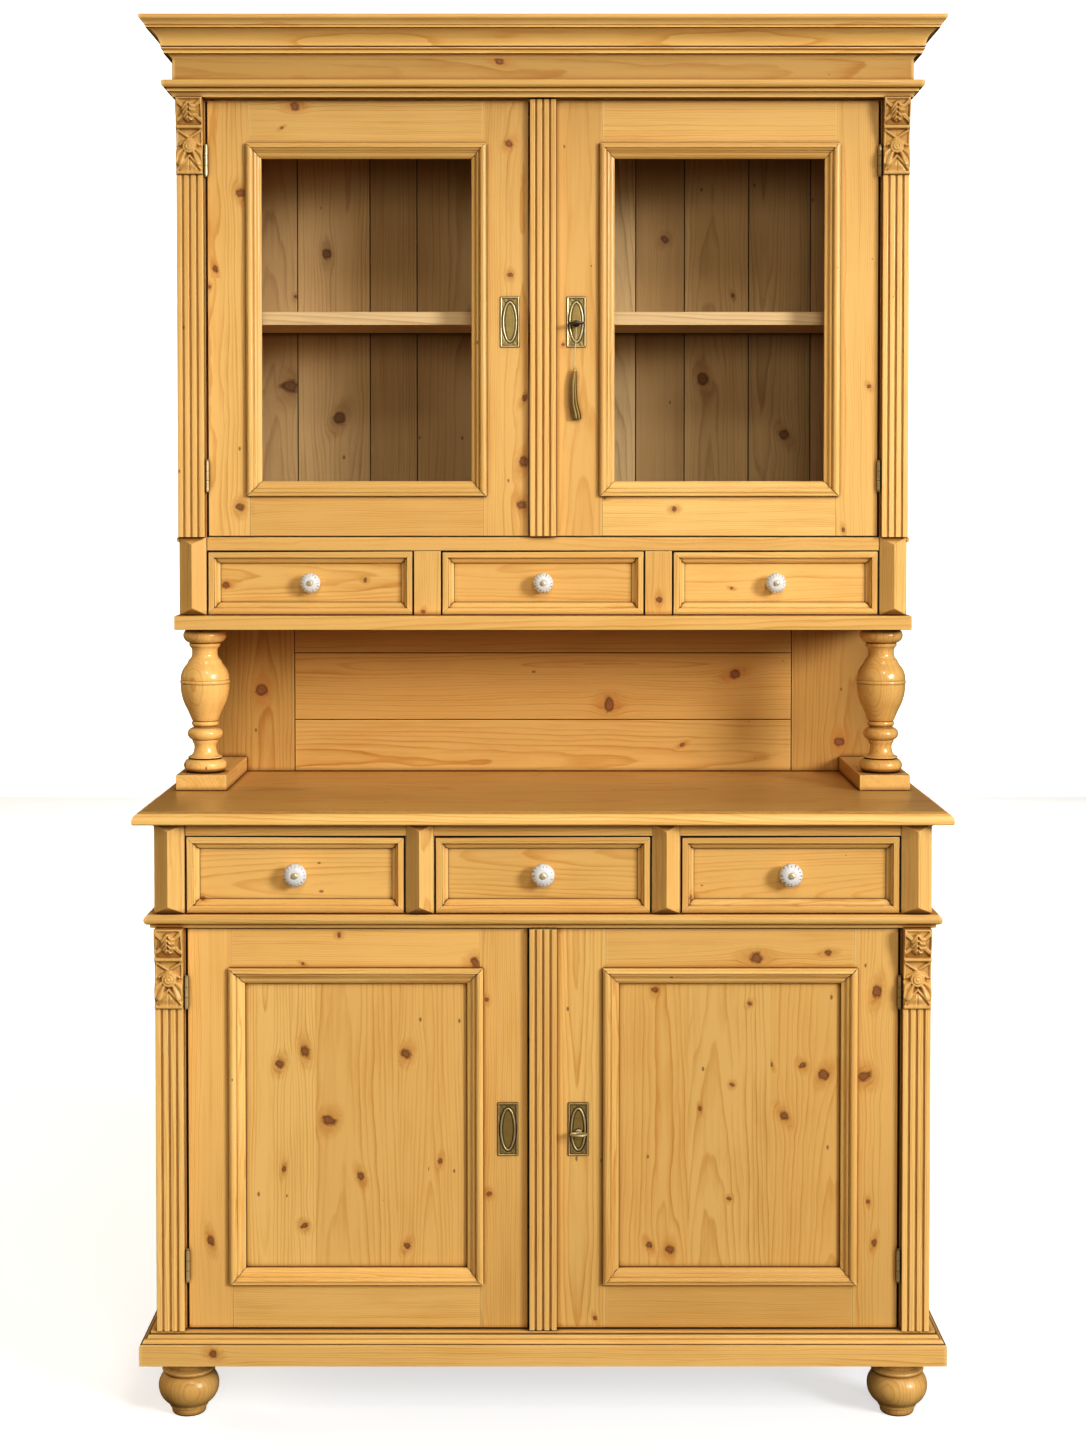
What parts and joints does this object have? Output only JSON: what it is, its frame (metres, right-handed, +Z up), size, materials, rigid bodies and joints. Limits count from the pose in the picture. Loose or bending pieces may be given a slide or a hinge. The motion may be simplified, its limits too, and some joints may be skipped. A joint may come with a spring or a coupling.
{
  "type": "welsh dresser",
  "caption": "Pine dresser: panelled base cupboard with drawers, open niche with turned columns, and a glazed upper cupboard under a moulded cornice.",
  "frame": {"origin": "on the floor, in the middle of the width and of the depth", "axes": "+X to the right seen from the front, +Y to the back, +Z up; the doors face -Y"},
  "size_m": [1.253, 0.531, 2.133],
  "materials": {
    "pine": "waxed",
    "glass": "clear",
    "brass": "aged",
    "steel": "worn",
    "porcelain": "glazed",
    "tassel": "matt"
  },
  "bodies": {
    "carcass": {"bun_feet": "pine", "base_floor": "pine", "plinth_moulding": "pine", "base_side_panels": "pine", "base_back_boards": "pine", "base_front_frame": "pine", "waist_moulding": "pine", "base_shelf": "pine", "worktop": "pine", "column_blocks": "pine", "turned_columns": "pine", "niche_back_panel": "pine", "upper_base_board": "pine", "upper_side_panels": "pine", "upper_back_boards": "pine", "upper_front_frame": "pine", "upper_decks": "pine", "upper_shelf": "pine", "frieze_boards": "pine", "architrave_moulding": "pine", "cornice_moulding": "pine", "fluted_pilasters": "pine", "carved_corbels": "pine", "faceted_blocks": "pine", "side_beads": "pine", "drawer_runners": "pine", "fixed_hinge_leaves": "steel", "hinge_pins": "steel"},
    "upper_left_door": {"upper_left_door_frame": "pine", "upper_left_glass": "glass", "upper_left_door_fittings": "brass"},
    "upper_right_door": {"upper_right_door_frame": "pine", "upper_right_glass": "glass", "upper_right_door_fittings": "brass", "upper_meeting_strip": "pine"},
    "base_left_door": {"base_left_door_frame": "pine", "base_left_panel": "pine", "base_left_door_fittings": "brass"},
    "base_right_door": {"base_right_door_frame": "pine", "base_right_panel": "pine", "base_right_door_fittings": "brass", "base_meeting_strip": "pine"},
    "upper_left_drawer": {"upper_left_drawer": "pine", "upper_left_drawer_pull": "porcelain"},
    "upper_middle_drawer": {"upper_middle_drawer": "pine", "upper_middle_drawer_pull": "porcelain"},
    "upper_right_drawer": {"upper_right_drawer": "pine", "upper_right_drawer_pull": "porcelain"},
    "base_left_drawer": {"base_left_drawer": "pine", "base_left_drawer_pull": "porcelain"},
    "base_middle_drawer": {"base_middle_drawer": "pine", "base_middle_drawer_pull": "porcelain"},
    "base_right_drawer": {"base_right_drawer": "pine", "base_right_drawer_pull": "porcelain"},
    "upper_key": {"upper_key": "steel"},
    "upper_lock_bolt": {"upper_lock_bolt": "steel"},
    "base_key": {"base_key": "steel"},
    "base_lock_bolt": {"base_lock_bolt": "steel"},
    "tassel": {"key_cord": "tassel", "key_tassel": "tassel"}
  },
  "joints": [
    {"name": "upper_left_door_hinge", "type": "hinge", "parent": "carcass", "child": "upper_left_door", "pos_m": [-0.5315, 0.0015, 1.667], "axis": [0, 0, -1], "range_deg": [0, 100]},
    {"name": "upper_right_door_hinge", "type": "hinge", "parent": "carcass", "child": "upper_right_door", "pos_m": [0.5315, 0.0015, 1.667], "axis": [0, 0, 1], "range_deg": [0, 100]},
    {"name": "base_left_door_hinge", "type": "hinge", "parent": "carcass", "child": "base_left_door", "pos_m": [-0.5315, -0.2385, 0.4425], "axis": [0, 0, -1], "range_deg": [0, 100]},
    {"name": "base_right_door_hinge", "type": "hinge", "parent": "carcass", "child": "base_right_door", "pos_m": [0.5315, -0.2385, 0.4425], "axis": [0, 0, 1], "range_deg": [0, 100]},
    {"name": "upper_left_drawer_slide", "type": "slide", "parent": "carcass", "child": "upper_left_drawer", "axis": [0, -1, 0], "range_m": [0, 0.15]},
    {"name": "upper_middle_drawer_slide", "type": "slide", "parent": "carcass", "child": "upper_middle_drawer", "axis": [0, -1, 0], "range_m": [0, 0.15]},
    {"name": "upper_right_drawer_slide", "type": "slide", "parent": "carcass", "child": "upper_right_drawer", "axis": [0, -1, 0], "range_m": [0, 0.15]},
    {"name": "base_left_drawer_slide", "type": "slide", "parent": "carcass", "child": "base_left_drawer", "axis": [0, -1, 0], "range_m": [0, 0.3]},
    {"name": "base_middle_drawer_slide", "type": "slide", "parent": "carcass", "child": "base_middle_drawer", "axis": [0, -1, 0], "range_m": [0, 0.3]},
    {"name": "base_right_drawer_slide", "type": "slide", "parent": "carcass", "child": "base_right_drawer", "axis": [0, -1, 0], "range_m": [0, 0.3]},
    {"name": "upper_key_turn", "type": "hinge", "parent": "upper_right_door", "child": "upper_key", "pos_m": [0.0525, 0.0055, 1.6585], "axis": [0, 1, 0], "range_deg": [0, 180]},
    {"name": "upper_bolt_slide", "type": "slide", "parent": "upper_right_door", "child": "upper_lock_bolt", "axis": [-1, 0, 0], "range_m": [0, 0.012]},
    {"name": "base_key_turn", "type": "hinge", "parent": "base_right_door", "child": "base_key", "pos_m": [0.0525, -0.2345, 0.4385], "axis": [0, 1, 0], "range_deg": [0, 180]},
    {"name": "base_bolt_slide", "type": "slide", "parent": "base_right_door", "child": "base_lock_bolt", "axis": [-1, 0, 0], "range_m": [0, 0.012]},
    {"name": "tassel_swing", "type": "hinge", "parent": "upper_right_door", "child": "tassel", "pos_m": [0.0525, -0.002, 1.6585], "axis": [0, 1, 0], "range_deg": [-9, 9]}
  ],
  "couplings": [
    {"joint": "upper_key_turn", "follows": "upper_bolt_slide", "rad_per_m": 261.7},
    {"joint": "base_key_turn", "follows": "base_bolt_slide", "rad_per_m": 261.7}
  ]
}
